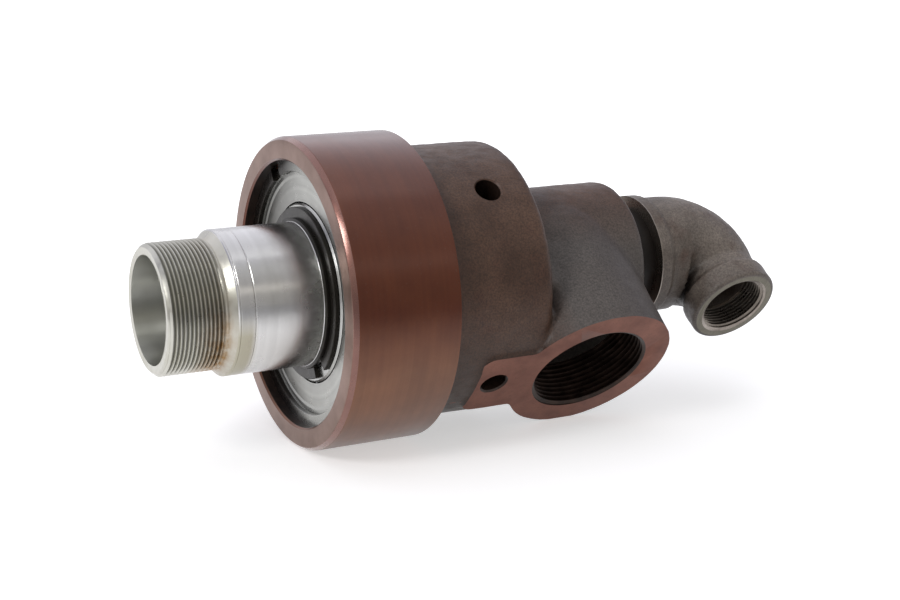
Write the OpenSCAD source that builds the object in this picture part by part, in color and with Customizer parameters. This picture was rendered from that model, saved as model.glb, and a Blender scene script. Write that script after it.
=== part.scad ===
// Rotary union: a hollow rotor turns on two ball bearings in a cast housing.
// A spring-loaded carbon ring seals the rotor's inner end.
// A side port and a nipple with a reducing elbow lead out of the housing's head.
// The origin is the centre of the rotor's nose face. +X runs along the rotor's axis
// into the housing, and +Z is up while the union lies on its drum and its side port.

/* [Rotor] */
// Major diameter of the nose thread
thread_d = 72.4; // [69:0.2:76]
// Length of the nose thread
thread_len = 33.6; // [28:0.2:36]
// Wall of the rotor under the nose thread
rotor_wall = 6.2; // [5:0.1:9]
// Height of the shoulder from the thread up to the smooth nose
nose_step = 4.2; // [3.4:0.1:5]
// Height of the step from the smooth nose up to the front bearing's journal
journal_step = 2.1; // [1:0.1:3]
// Height of the step from the front journal down to the rear journal
rear_step = 2.5; // [2:0.1:3]
// Distance from the nose's end face to the housing's front face
nose_reach = 81.5; // [72:0.5:95]

/* [Front bearing] */
// Outer diameter of the front bearing
front_od = 150; // [144:1:154]
// Width of the front bearing
front_w = 28; // [26:0.5:32]
// Number of balls in the front bearing
front_balls = 11; // [8:1:12]
// Wall of the front bearing's two races beside the balls
front_race_wall = 7.96; // [7:0.02:9]

/* [Rear bearing] */
// Outer diameter of the rear bearing
rear_od = 125; // [120:1:128]
// Width of the rear bearing
rear_w = 22; // [20:0.5:24]
// Number of balls in the rear bearing
rear_balls = 14; // [10:1:15]
// Wall of the rear bearing's two races beside the balls
rear_race_wall = 5.38; // [4.8:0.02:6.2]
// Length of the sleeve between the two bearings
spacer_len = 24.4; // [18:0.2:28]

/* [Retaining rings] */
// Thickness of the ring that holds the front bearing in the housing
housing_ring_t = 3; // [2.5:0.1:3.4]
// Radial width of that ring
housing_ring_w = 9.1; // [7.5:0.1:10.5]
// Radial width of the front ring on the rotor, above the journal
rotor_ring_w = 6; // [4:0.1:7]
// Thickness of the rings on the rotor
rotor_ring_t = 2.5; // [2:0.1:3]

/* [Housing] */
// Wall of the machined drum round the front bearing
drum_wall = 13; // [10:0.1:16]
// Length of the drum
drum_len = 62.3; // [56:0.5:68]
// Depth of the recess in front of the housing ring
recess_depth = 6.1; // [4:0.1:9]
// How far the drum stands proud of the cast body
drum_step = 9.95; // [8:0.05:12]
// Length of the seal chamber inside the body
chamber_len = 23; // [21:0.5:28]
// Diameter of the cast head
head_d = 95.6; // [93:0.2:100]
// Length of the cast head
head_len = 80.7; // [76:0.5:90]
// Wall of the cast body round the seal chamber
body_wall = 14; // [10:0.5:16]
// Wall of the cast head
head_wall = 11.8; // [9.5:0.2:13]

/* [Side port] */
// Distance from the body's back face to the port's axis
port_set = 34.9; // [33:0.1:38]
// Distance from the rotor's axis to the port's face
port_reach = 76.8; // [75:0.1:82]
// Outer diameter of the port's branch
branch_d = 101; // [96:0.5:104]
// Root diameter of the port's thread
port_bore_d = 69.8; // [66:0.2:72]
// Length of the port's thread
port_thread_len = 28; // [20:0.5:30]
// Width of the milled pad beside the port
pad_w = 48.4; // [40:0.2:54]
// Length of the pad in front of the body's back face
pad_len = 41.5; // [38:0.5:46]

/* [Weep holes] */
// Diameter of the weep holes
weep_d = 15; // [11:0.5:17]
// Number of weep holes round the body
weep_count = 4; // [2:2:4]
// Distance from the bearing stop to the holes
weep_set = 11; // [10:0.1:12]

/* [Seal] */
// Wall of the carbon ring
carbon_wall = 7.5; // [6:0.1:9]
// Wall of the carbon ring's nose
carbon_nose_wall = 5; // [3:0.1:6]
// Wall of the seal carrier round the carbon ring
carrier_wall = 4.5; // [3.5:0.1:5.5]
// How far the carrier can move back against its springs
seal_travel = 2.3; // [1.5:0.1:3]
// Number of places round the carrier, two of them for pins
spring_places = 8; // [6:2:8]

/* [Nipple and elbow] */
// Outer diameter of the nipple
nipple_d = 60.3; // [58:0.1:61]
// Length of nipple that shows between head and elbow
nipple_gap = 18.4; // [12:0.2:30]
// Depth that the nipple goes into the head and into the elbow
engagement = 18.5; // [15:0.5:20]
// Distance from the elbow's inlet rim to its outlet's axis
elbow_run = 50.7; // [49:0.1:55]
// Distance from the rotor's axis to the elbow's outlet face
elbow_drop = 50.9; // [49:0.1:56]
// Root diameter of the elbow's outlet thread
outlet_bore_d = 40.8; // [38:0.2:42]
// Length of the outlet's thread
outlet_thread_len = 17; // [14:0.5:18]
// Angle between the elbow's outlet and the side port
outlet_turn = 6.5; // [0:0.1:20]

/* [Hidden] */
$fn = 96;

// Radial play of a sliding fit
slide_fit = 0.08;
// Gap round loose and soft pieces
loose_gap = 0.3;
// Small edge break on turned pieces
edge = 0.6;

// Radii from the driving diameters
thread_r = thread_d / 2;
rotor_bore_r = thread_r - rotor_wall;
nose_r = thread_r + nose_step;
front_bore_r = nose_r + journal_step;
rear_bore_r = front_bore_r - rear_step;
front_r = front_od / 2;
rear_r = rear_od / 2;
drum_r = front_r + drum_wall;
body_r = drum_r - drum_step;
head_r = head_d / 2;
branch_r = branch_d / 2;
port_bore_r = port_bore_d / 2;
nipple_r = nipple_d / 2;

// Stations along the axis, from the nose to the elbow
drum_x0 = nose_reach;
drum_x1 = drum_x0 + drum_len;
housing_ring_x = drum_x0 + recess_depth;
front_x0 = housing_ring_x + housing_ring_t;
front_x1 = front_x0 + front_w;
rear_x0 = front_x1 + spacer_len;
rear_x1 = rear_x0 + rear_w;
rear_ring_x1 = rear_x1 + rotor_ring_t;

// The bearing stop is a flange in the housing, and the V-ring runs behind it
flange_t = 4;
flange_lift = 10;
flange_x1 = rear_x1 + flange_t;
flange_bore_r = rear_bore_r + flange_lift;

// Seal chamber, and the body's back face, head and side port behind it
chamber_r = body_r - body_wall;
chamber_x1 = flange_x1 + chamber_len;
back_wall = 16.4;
body_x1 = chamber_x1 + back_wall;
head_x1 = body_x1 + head_len;
port_x = body_x1 + port_set;
weep_x = flange_x1 + weep_set;

// Carbon ring, and its carrier in the bore that stops it
seal_bore_r = rotor_bore_r + 1;
carbon_r = seal_bore_r + carbon_wall;
carrier_r = carbon_r + carrier_wall;
shoulder_set = 1.9;
carrier_stop_x = body_x1 - shoulder_set;
carrier_bore_r = carrier_r + slide_fit;
passage_r = rotor_bore_r + 3;

// The seal faces meet in the plane of the weep holes
seal_x = weep_x;
seat_proud = 2;
seat_depth = 8;
seat_r = rear_bore_r - 3;
rotor_x1 = seal_x - seat_proud;
carbon_len = 10;
carbon_sunk = 5;
carrier_x0 = seal_x + carbon_len - carbon_sunk;
carrier_x1 = carrier_stop_x - seal_travel;
carrier_land_x = chamber_x1;
carrier_ring_w = 3.4;
carrier_ring_x = carrier_land_x + 3;
carrier_ring_depth = 2.8;
pocket_x = carrier_ring_x + carrier_ring_w - 1;
place_r = (seal_bore_r + carrier_r - carrier_ring_depth) / 2 + 0.5;
pocket_r = 2.7;
spring_r = 2.4;
spring_wire_r = 0.45;
pin_r = 2;
pin_set = 4.5;

// Head, with its waterway and the threaded hole for the nipple
head_bore_r = head_r - head_wall;
nipple_wall = 4;
nipple_bore_r = nipple_r - nipple_wall;
elbow_way_r = nipple_bore_r - 1;
elbow_x0 = head_x1 + nipple_gap;
elbow_x = elbow_x0 + elbow_run;

// The union lies on the drum and on the chamfered rim of the side port
port_chamfer = 0.8;
rim_h = port_reach - port_chamfer;
rim_span = norm([rim_h, branch_r]);
port_dip = asin(min(0.999, drum_r / rim_span)) - atan(branch_r / rim_h);
lie_turn = port_dip - 90;

// Each shape below is drawn with the side port pointing down, and then laid over.
module laid() {
    rotate([lie_turn, 0, 0])
        children();
}

// A solid of revolution about the rotor's axis, from [distance, radius] points
module turned(profile) {
    rotate([0, 90, 0])
        rotate_extrude()
            polygon([for (p = profile) [p[1], p[0]]]);
}

// A plain ring about the rotor's axis with broken edges
module turned_ring(x0, x1, r0, r1, c = 0.4) {
    turned([[x0, r0 + c], [x0, r1 - c], [x0 + c, r1], [x1 - c, r1],
        [x1, r1 - c], [x1, r0 + c], [x1 - c, r0], [x0 + c, r0]]);
}

// A rod along the rotor's axis
module rod(x0, x1, r) {
    translate([x0, 0, 0])
        rotate([0, 90, 0])
            cylinder(h = x1 - x0, r = r);
}

// Copies of a shape at equal turns about the rotor's axis
module around(count, first = 0) {
    for (i = [0:count - 1])
        rotate([first + i * 360 / count, 0, 0])
            children();
}

// Points of an arc in a [distance, radius] profile
function arc(x, r, radius, a0, a1, steps = 6) =
    [for (i = [0:steps]) let (a = a0 + (a1 - a0) * i / steps)
        [x + radius * cos(a), r + radius * sin(a)]];

// A circle's segment that a retaining ring leaves open, as a wedge about the axis
module ring_gap(x0, x1, r, middle, opening) {
    half = opening / 2;
    rotate([middle, 0, 0])
        translate([x0, 0, 0])
            rotate([90, 0, 90])
                linear_extrude(x1 - x0)
                    polygon([[0, 0], [r * sin(half), r * cos(half)],
                        [0, r * 1.2], [-r * sin(half), r * cos(half)]]);
}

// Outside of the drum, body and head in one revolved profile
drum_chamfer = 3;
drum_face_drop = 2;
body_corner = 6;
root_fillet = 4;
head_fillet = 8;
head_corner = 4;

module housing_outside() {
    turned(concat(
        [[drum_x0, 0], [drum_x0, drum_r - drum_face_drop],
            [drum_x0 + drum_chamfer, drum_r],
            [drum_x1 - edge, drum_r], [drum_x1, drum_r - edge]],
        arc(drum_x1 + root_fillet, body_r + root_fillet, root_fillet, 180, 270),
        arc(body_x1 - body_corner, body_r - body_corner, body_corner, 90, 0),
        arc(body_x1 + head_fillet, head_r + head_fillet, head_fillet, 180, 270),
        arc(head_x1 - head_corner, head_r - head_corner, head_corner, 90, 0),
        [[head_x1, 0]]));
}

// The branch is a round boss whose blind end is domed into the head
dome_lift = 10;

module branch_outside() {
    translate([port_x, 0, -rim_h])
        cylinder(h = rim_h - dome_lift, r = branch_r);
    translate([port_x, 0, -port_reach])
        cylinder(h = port_chamfer, r1 = branch_r - port_chamfer, r2 = branch_r);
    translate([port_x, 0, -dome_lift])
        sphere(r = branch_r, $fn = 128);
}

// Outline of the milled pad: a bar with round front corners that runs into the port
pad_corner = 7;

module pad_outline() {
    pad_x0 = body_x1 - pad_len;
    half = pad_w / 2;
    translate([pad_x0 + pad_corner, -half])
        square([port_x - pad_x0 - pad_corner, pad_w]);
    translate([pad_x0, pad_corner - half])
        square([pad_corner, pad_w - 2 * pad_corner]);
    for (side = [-1, 1])
        translate([pad_x0 + pad_corner, side * (half - pad_corner)])
            circle(r = pad_corner);
}

// Fillets where the branch leaves the body's back face
crotch = 9;
crotch_end = 3;

module crotch_fillets() {
    centre_x = body_x1 + crotch;
    centre_y = sqrt(pow(branch_r + crotch, 2) - pow(port_x - centre_x, 2));
    drop = sqrt(pow(body_r - body_corner, 2) - pow(centre_y, 2)) - crotch_end;
    for (side = [-1, 1])
        translate([0, 0, -drop])
            linear_extrude(drop)
                difference() {
                    polygon([[body_x1 - 1, 0], [body_x1 - 1, side * centre_y],
                        [centre_x, side * centre_y], [port_x, 0]]);
                    translate([centre_x, side * centre_y])
                        circle(r = crotch);
                }
}

// All turned bores of the housing in one profile
ring_groove_depth = 2.5;
groove_play = 0.1;
bearing_shoulder_lift = 0.28;
bearing_shoulder_r = rear_r + (front_r - rear_r) * bearing_shoulder_lift;
mouth_chamfer = 1;
bore_cone = 4;

module housing_bores() {
    turned([[drum_x0 - 1, 0], [drum_x0 - 1, front_r + mouth_chamfer + 1],
        [drum_x0 + mouth_chamfer, front_r],
        [housing_ring_x, front_r], [housing_ring_x, front_r + ring_groove_depth],
        [front_x0, front_r + ring_groove_depth], [front_x0, front_r],
        [front_x1, front_r], [front_x1, bearing_shoulder_r],
        [rear_x0, bearing_shoulder_r], [rear_x0, rear_r], [rear_x1, rear_r],
        [rear_x1, flange_bore_r], [flange_x1, flange_bore_r],
        [flange_x1, chamber_r - 2], [flange_x1 + 2, chamber_r],
        [chamber_x1 - 2, chamber_r], [chamber_x1, chamber_r - 2],
        [chamber_x1, carrier_bore_r + 1], [chamber_x1 + 1, carrier_bore_r],
        [carrier_stop_x, carrier_bore_r], [carrier_stop_x, passage_r],
        [carrier_stop_x + bore_cone, passage_r],
        [carrier_stop_x + bore_cone + 3, head_bore_r],
        [head_x1 - engagement - bore_cone, head_bore_r],
        [head_x1 - engagement, nipple_r],
        [head_x1 + 1, nipple_r], [head_x1 + 1, 0]]);
}

// Threaded hole of the side port, with the cored passage behind it
port_countersink = 1.6;

module port_hole() {
    core_r = min(port_bore_r - 2, head_bore_r);
    translate([port_x, 0, -port_reach + port_thread_len - 1])
        cylinder(h = port_reach - port_thread_len + 1, r = core_r);
    translate([port_x, 0, -port_reach - 1])
        cylinder(h = port_thread_len + 1, r = port_bore_r);
    translate([port_x, 0, -port_reach - 1])
        cylinder(h = port_countersink + 1, r1 = port_bore_r + port_countersink,
            r2 = port_bore_r);
}

// A weep hole from outside the body into the seal chamber, pointing down
weep_countersink = 1.2;
weep_overrun = 5;

module weep_hole(outside) {
    translate([weep_x, 0, -outside - 1])
        cylinder(h = outside + 1 - chamber_r + weep_overrun, d = weep_d);
    translate([weep_x, 0, -outside - weep_countersink])
        cylinder(h = 2 * weep_countersink, r1 = weep_d / 2 + 2 * weep_countersink,
            r2 = weep_d / 2);
}

// One iron casting: drum, body, head, side port and pad
spot_face_w = 8;

module housing() {
    face_cut = max(body_r - port_reach, 0) + 1;
    spot_face_r = nipple_r + spot_face_w;
    color([0.36, 0.25, 0.22])
        laid()
            difference() {
                union() {
                    housing_outside();
                    branch_outside();
                    crotch_fillets();
                    translate([0, 0, -port_reach])
                        linear_extrude(port_reach - chamber_r)
                            pad_outline();
                }
                translate([0, 0, -port_reach - face_cut])
                    linear_extrude(face_cut)
                        pad_outline();
                rod(head_x1, head_x1 + branch_r, spot_face_r);
                housing_bores();
                port_hole();
                weep_hole(port_reach);
                for (i = [1:weep_count - 1])
                    rotate([i * 360 / weep_count, 0, 0])
                        weep_hole(body_r);
                drive_pins();
            }
}

// Hollow rotor, its threaded nose, the journals and the pocket for the seal seat
thread_chamfer = 2.2;
shoulder_run = 3.2;
mark_x = 46.2;
mark_depth = 0.4;
journal_lead = 3.9;
rotor_groove_depth = 1.75;

module rotor() {
    journal_x = drum_x0 + journal_lead;
    step_x = rear_x0 - 2;
    ring_x = front_x0 - rotor_ring_t;
    color([0.72, 0.72, 0.70])
        laid()
            turned([[0, rotor_bore_r], [0, thread_r - thread_chamfer],
                [thread_chamfer, thread_r], [thread_len, thread_r],
                [thread_len + shoulder_run, nose_r - edge],
                [thread_len + shoulder_run + edge, nose_r],
                [mark_x, nose_r], [mark_x + mark_depth, nose_r - mark_depth],
                [mark_x + 2 * mark_depth, nose_r],
                [journal_x, nose_r], [journal_x + edge, front_bore_r],
                [ring_x, front_bore_r], [ring_x, front_bore_r - rotor_groove_depth],
                [front_x0, front_bore_r - rotor_groove_depth], [front_x0, front_bore_r],
                [step_x, front_bore_r], [step_x, rear_bore_r],
                [rear_x1, rear_bore_r], [rear_x1, rear_bore_r - rotor_groove_depth],
                [rear_ring_x1, rear_bore_r - rotor_groove_depth],
                [rear_ring_x1, rear_bore_r],
                [rotor_x1 - 1, rear_bore_r], [rotor_x1, rear_bore_r - 1],
                [rotor_x1, seat_r], [seal_x - seat_depth - seat_proud, seat_r],
                [seal_x - seat_depth - seat_proud, rotor_bore_r]]);
}

// Share of a ball's radius at which the races' edges lie, away from the pitch circle
land_share = 0.87;

function ball_r(bore_r, outer_r, wall) = ((outer_r - bore_r) / 2 - wall) / land_share;

// Sizes of the two ball bearings, each as one list:
// front face, back face, bore radius, outer radius, ball radius and ball count
front_bearing = [front_x0, front_x1, front_bore_r, front_r,
    ball_r(front_bore_r, front_r, front_race_wall), front_balls];
rear_bearing = [rear_x0, rear_x1, rear_bore_r, rear_r,
    ball_r(rear_bore_r, rear_r, rear_race_wall), rear_balls];
groove_gap = 0.1;
shield_t = 0.8;
shield_set = 0.6;

function pitch_r(b) = (b[2] + b[3]) / 2;
function middle_x(b) = (b[0] + b[1]) / 2;
function inner_land_r(b) = pitch_r(b) - b[4] * land_share;
function outer_land_r(b) = pitch_r(b) + b[4] * land_share;

// Groove in which the balls run
module raceway(b) {
    translate([middle_x(b), 0, 0])
        rotate([0, 90, 0])
            rotate_extrude()
                translate([pitch_r(b), 0])
                    circle(r = b[4] + groove_gap);
}

// Groove in which a shield is crimped, seen from the front or the back face
module shield_seat(b, front) {
    x0 = front ? b[0] - 1 : b[1] - shield_set - shield_t - groove_gap;
    x1 = front ? b[0] + shield_set + shield_t + groove_gap : b[1] + 1;
    turned([[x0, outer_land_r(b) - 1], [x0, outer_land_r(b) + 1.6],
        [x1, outer_land_r(b) + 1.6], [x1, outer_land_r(b) - 1]]);
}

module outer_race(b) {
    difference() {
        turned_ring(b[0], b[1], outer_land_r(b), b[3], 1);
        raceway(b);
        shield_seat(b, true);
        shield_seat(b, false);
    }
}

module inner_race(b) {
    difference() {
        turned_ring(b[0], b[1], b[2], inner_land_r(b), 1);
        raceway(b);
    }
}

module ball_set(b) {
    around(b[5])
        translate([middle_x(b), 0, pitch_r(b)])
            sphere(r = b[4], $fn = 48);
}

// Ring between the balls with a round pocket for each
module ball_cage(b) {
    half_w = b[4] * 1.12;
    half_t = b[4] * 0.2;
    difference() {
        turned_ring(middle_x(b) - half_w, middle_x(b) + half_w,
            pitch_r(b) - half_t, pitch_r(b) + half_t);
        around(b[5])
            translate([middle_x(b), 0, pitch_r(b)])
                sphere(r = b[4] + 2 * groove_gap, $fn = 48);
    }
}

// Pressed steel shield: a rolled rim in the outer race and a dished web
module shield(b, front) {
    way = front ? 1 : -1;
    x = front ? b[0] + shield_set : b[1] - shield_set;
    rim_r = outer_land_r(b) + 1.5;
    web_r = inner_land_r(b) + 0.8;
    dish = 0.5;
    turned([[x, rim_r], [x, rim_r - 2.5], [x + way * dish, rim_r - 4],
        [x + way * dish, web_r], [x + way * (dish + shield_t), web_r],
        [x + way * (dish + shield_t), outer_land_r(b) - 1],
        [x + way * shield_t, outer_land_r(b) - 0.4], [x + way * shield_t, rim_r]]);
}

module front_bearing_outer_race() {
    color([0.60, 0.60, 0.58])
        outer_race(front_bearing);
}

module front_bearing_inner_race() {
    color([0.62, 0.62, 0.60])
        inner_race(front_bearing);
}

module front_bearing_balls() {
    color([0.80, 0.80, 0.80])
        laid()
            ball_set(front_bearing);
}

module front_bearing_cage() {
    color([0.50, 0.50, 0.48])
        laid()
            ball_cage(front_bearing);
}

module front_bearing_shields() {
    color([0.62, 0.61, 0.57]) {
        shield(front_bearing, true);
        shield(front_bearing, false);
    }
}

module rear_bearing_outer_race() {
    color([0.60, 0.60, 0.58])
        outer_race(rear_bearing);
}

module rear_bearing_inner_race() {
    color([0.62, 0.62, 0.60])
        inner_race(rear_bearing);
}

module rear_bearing_balls() {
    color([0.80, 0.80, 0.80])
        laid()
            ball_set(rear_bearing);
}

module rear_bearing_cage() {
    color([0.50, 0.50, 0.48])
        laid()
            ball_cage(rear_bearing);
}

module rear_bearing_shields() {
    color([0.62, 0.61, 0.57]) {
        shield(rear_bearing, true);
        shield(rear_bearing, false);
    }
}

// Sleeve that keeps the two inner races apart
spacer_wall = 5.5;

module bearing_spacer() {
    color([0.45, 0.46, 0.48])
        turned_ring(front_x1, rear_x0, front_bore_r, front_bore_r + spacer_wall);
}

// Ring sprung into the housing in front of the front bearing, open at one place
housing_ring_gap = 9;
housing_ring_open = -26;

module housing_retaining_ring() {
    ring_r = front_r + ring_groove_depth - groove_play;
    color([0.20, 0.19, 0.18])
        difference() {
            turned_ring(housing_ring_x, front_x0, ring_r - housing_ring_w, ring_r, 0.3);
            ring_gap(housing_ring_x - 1, front_x0 + 1, front_r, housing_ring_open,
                housing_ring_gap);
        }
}

// Rings sprung onto the rotor, one before and one behind the bearings
rear_ring_less = 1;
rotor_ring_gap = 16;
rotor_ring_open = 148;

module rotor_ring(x0, journal_r, outer_r) {
    difference() {
        turned_ring(x0, x0 + rotor_ring_t, journal_r - rotor_groove_depth + groove_play,
            outer_r, 0.3);
        ring_gap(x0 - 1, x0 + rotor_ring_t + 1, outer_r, rotor_ring_open, rotor_ring_gap);
    }
}

module rotor_front_retaining_ring() {
    color([0.10, 0.10, 0.10])
        rotor_ring(front_x0 - rotor_ring_t, front_bore_r, front_bore_r + rotor_ring_w);
}

module rotor_rear_retaining_ring() {
    color([0.10, 0.10, 0.10])
        rotor_ring(rear_x1, rear_bore_r, rear_bore_r + rotor_ring_w - rear_ring_less);
}

// Rubber ring that turns with the rotor and keeps leaked water off the rear bearing
v_ring_w = 5;
v_ring_wall = 5;
v_lip = 6;

module v_ring() {
    x0 = flange_x1 + loose_gap;
    inner = rear_bore_r;
    outer = inner + v_ring_wall;
    color([0.08, 0.08, 0.08])
        turned([[x0 + 1, inner], [x0 + 1, outer - 1.4], [x0 + 3, outer],
            [x0 + 0.8, outer + v_lip], [x0, outer + v_lip + 1],
            [x0 + 1.2, outer + v_lip + 1], [x0 + 4.4, outer + 1],
            [x0 + v_ring_w, outer - 1], [x0 + v_ring_w, inner]]);
}

// Hard seat that turns with the rotor, and its O-ring
seat_ring_set = 7;
seat_ring_x = seal_x - seat_ring_set;
seat_cord_r = 1;

module seal_seat() {
    x0 = seal_x - seat_depth - seat_proud;
    groove_r = seat_r - 2 * seat_cord_r;
    color([0.70, 0.68, 0.62])
        turned([[x0, seal_bore_r], [x0, seat_r - edge], [x0 + edge, seat_r],
            [seat_ring_x - seat_cord_r, seat_r], [seat_ring_x - seat_cord_r, groove_r],
            [seat_ring_x + seat_cord_r, groove_r], [seat_ring_x + seat_cord_r, seat_r],
            [seal_x - edge, seat_r], [seal_x, seat_r - edge], [seal_x, seal_bore_r]]);
}

// A cord ring about the rotor's axis
module o_ring(x, ring_r, cord_r) {
    translate([x, 0, 0])
        rotate([0, 90, 0])
            rotate_extrude()
                translate([ring_r, 0])
                    circle(r = cord_r - groove_play / 2, $fn = 32);
}

module seat_o_ring() {
    color([0.07, 0.07, 0.07])
        o_ring(seat_ring_x, seat_r - seat_cord_r, seat_cord_r);
}

// Carbon ring that is pressed against the seat, and does not turn
module carbon_seal_ring() {
    nose_len = 3;
    nose_outer_r = seal_bore_r + carbon_nose_wall;
    color([0.16, 0.16, 0.17])
        turned([[seal_x, seal_bore_r + 1], [seal_x, nose_outer_r],
            [seal_x + nose_len, nose_outer_r], [seal_x + nose_len + 0.5, carbon_r],
            [seal_x + carbon_len, carbon_r], [seal_x + carbon_len, seal_bore_r],
            [seal_x + 1, seal_bore_r]]);
}

// Carrier of the carbon ring, which slides in the housing on its O-ring
module seal_carrier() {
    cup_x = seal_x + carbon_len;
    groove_r = carrier_r - carrier_ring_depth;
    color([0.66, 0.67, 0.68])
        laid()
            difference() {
                turned([[carrier_x0, carbon_r], [carrier_x0, carrier_r - 1.5],
                    [carrier_x0 + 1, carrier_r - 0.5], [carrier_land_x, carrier_r - 0.5],
                    [carrier_land_x + 0.5, carrier_r], [carrier_ring_x, carrier_r],
                    [carrier_ring_x, groove_r],
                    [carrier_ring_x + carrier_ring_w, groove_r],
                    [carrier_ring_x + carrier_ring_w, carrier_r],
                    [carrier_x1 - 0.5, carrier_r], [carrier_x1, carrier_r - 0.5],
                    [carrier_x1, seal_bore_r], [cup_x, seal_bore_r], [cup_x, carbon_r]]);
                around(spring_places)
                    translate([0, 0, place_r])
                        rod(pocket_x, carrier_x1 + 1, pocket_r);
            }
}

module carrier_o_ring() {
    cord_r = carrier_ring_w / 2;
    color([0.07, 0.07, 0.07])
        o_ring(carrier_ring_x + cord_r, carrier_r - carrier_ring_depth / 2,
            carrier_ring_depth / 2);
}

// Places of the springs and pins: pins at the two sides, springs at the others
function is_pin(i) = (i % (spring_places / 2)) == floor(spring_places / 4);

// A helical spring along the axis, swept as a tube of flat-sided rings
spring_turns = 4;
wire_sides = 5;
rings_per_turn = 10;

module coil_spring(x0, x1) {
    rings = spring_turns * rings_per_turn;
    coil_r = spring_r - spring_wire_r;
    rise = x1 - x0 - 2 * spring_wire_r;
    points = [for (k = [0:rings]) let (turn = k * 360 / rings_per_turn)
        for (s = [0:wire_sides - 1]) let (a = s * 360 / wire_sides,
                r = coil_r + spring_wire_r * cos(a))
            [x0 + spring_wire_r + rise * k / rings + spring_wire_r * sin(a),
                r * cos(turn), r * sin(turn)]];
    sides = [for (k = [0:rings - 1]) for (s = [0:wire_sides - 1])
        let (a = k * wire_sides + s, b = k * wire_sides + (s + 1) % wire_sides)
            each [[a, b, b + wire_sides], [a, b + wire_sides, a + wire_sides]]];
    start = [for (s = [wire_sides - 1:-1:0]) s];
    finish = [for (s = [0:wire_sides - 1]) rings * wire_sides + s];
    polyhedron(points, concat(sides, [start], [finish]));
}

module seal_springs() {
    color([0.75, 0.75, 0.76])
        laid()
            for (i = [0:spring_places - 1])
                if (!is_pin(i))
                    rotate([i * 360 / spring_places, 0, 0])
                        translate([0, 0, place_r])
                            coil_spring(pocket_x, carrier_stop_x);
}

// Pins that stop the carrier from turning, pressed into the housing's shoulder
module drive_pins() {
    for (i = [0:spring_places - 1])
        if (is_pin(i))
            rotate([i * 360 / spring_places, 0, 0])
                translate([0, 0, place_r])
                    rod(pocket_x + seal_travel + loose_gap, carrier_stop_x + pin_set, pin_r);
}

module seal_drive_pins() {
    color([0.70, 0.70, 0.72])
        laid()
            drive_pins();
}

// Pipe nipple between head and elbow
nipple_x0 = head_x1 - engagement;
nipple_x1 = elbow_x0 + engagement;

module nipple() {
    color([0.12, 0.10, 0.10])
        turned_ring(nipple_x0, nipple_x1, nipple_bore_r, nipple_r, 1.2);
}

// Reducing elbow: a banded inlet, a bend that narrows, and a banded outlet
inlet_band_w = 8.5;
inlet_band_wall = 7.4;
inlet_neck_wall = 5.2;
bend_reach = 28;
bend_swell = 9;
bend_wall = 7.7;
bend_parts = 6;
outlet_band_wall = 7.6;
outlet_band_w = 14;
outlet_band_rise = 2;
outlet_neck_wall = 5.4;
outlet_countersink = 2.8;
thread_root_gap = 2.5;

// The bend as a row of balls on a quarter circle, all smaller by the given amount
module bend_balls(less) {
    r0 = nipple_r + inlet_neck_wall;
    r1 = outlet_bore_d / 2 + outlet_neck_wall;
    for (i = [1:bend_parts - 1])
        let (s = i / bend_parts, r = r0 + (r1 - r0) * s + bend_swell * s * (1 - s))
            translate([elbow_x - bend_reach * (1 - sin(90 * s)), 0,
                    -bend_reach * (1 - cos(90 * s))])
                sphere(r = r - less);
}

module elbow_outside() {
    band_r = nipple_r + inlet_band_wall;
    neck_r = nipple_r + inlet_neck_wall;
    outlet_r = outlet_bore_d / 2 + outlet_band_wall;
    outlet_neck_r = outlet_bore_d / 2 + outlet_neck_wall;
    band_drop = elbow_drop - outlet_band_w;
    turned([[elbow_x0, 0], [elbow_x0, band_r - 1], [elbow_x0 + 1, band_r],
        [elbow_x0 + inlet_band_w, band_r], [elbow_x0 + inlet_band_w + 2, neck_r],
        [elbow_x - bend_reach, neck_r], [elbow_x - bend_reach, 0]]);
    bend_balls(0);
    translate([elbow_x, 0, 0])
        mirror([0, 0, 1])
            rotate_extrude()
                polygon([[0, bend_reach / 2], [outlet_neck_r, bend_reach / 2],
                    [outlet_neck_r, band_drop - outlet_band_rise],
                    [outlet_r, band_drop], [outlet_r, elbow_drop - 1],
                    [outlet_r - 1, elbow_drop], [0, elbow_drop]]);
}

module elbow_waterway() {
    out_way_r = outlet_bore_d / 2 - thread_root_gap;
    outlet_bore_r = outlet_bore_d / 2;
    rod(elbow_x0 - nipple_r, elbow_x0 + engagement, nipple_r);
    rod(elbow_x0 + engagement - 1, elbow_x - bend_reach, elbow_way_r);
    bend_balls(bend_wall);
    translate([elbow_x, 0, -elbow_drop]) {
        cylinder(h = elbow_drop - bend_reach / 2, r = out_way_r);
        translate([0, 0, -1])
            cylinder(h = outlet_thread_len + 1, r = outlet_bore_r);
        translate([0, 0, -1])
            cylinder(h = outlet_countersink + 1, r1 = outlet_bore_r + outlet_countersink + 1,
                r2 = outlet_bore_r);
    }
}

module elbow() {
    color([0.42, 0.39, 0.36])
        rotate([lie_turn - outlet_turn, 0, 0])
            difference() {
                elbow_outside();
                elbow_waterway();
            }
}

housing();
rotor();
front_bearing_outer_race();
front_bearing_inner_race();
front_bearing_balls();
front_bearing_cage();
front_bearing_shields();
rear_bearing_outer_race();
rear_bearing_inner_race();
rear_bearing_balls();
rear_bearing_cage();
rear_bearing_shields();
bearing_spacer();
housing_retaining_ring();
rotor_front_retaining_ring();
rotor_rear_retaining_ring();
v_ring();
seal_seat();
seat_o_ring();
carbon_seal_ring();
seal_carrier();
carrier_o_ring();
seal_springs();
seal_drive_pins();
nipple();
elbow();
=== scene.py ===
"""Rotary union: cast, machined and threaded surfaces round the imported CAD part.

Shapes are drawn in millimetres, as in the part's source, and become metres when they
are finished. The housing and the elbow are drawn with their port pointing down along
-Z, and are then laid over as the part lies.
"""

from math import asin, atan, cos, hypot, pi, radians, sin, tau

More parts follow.
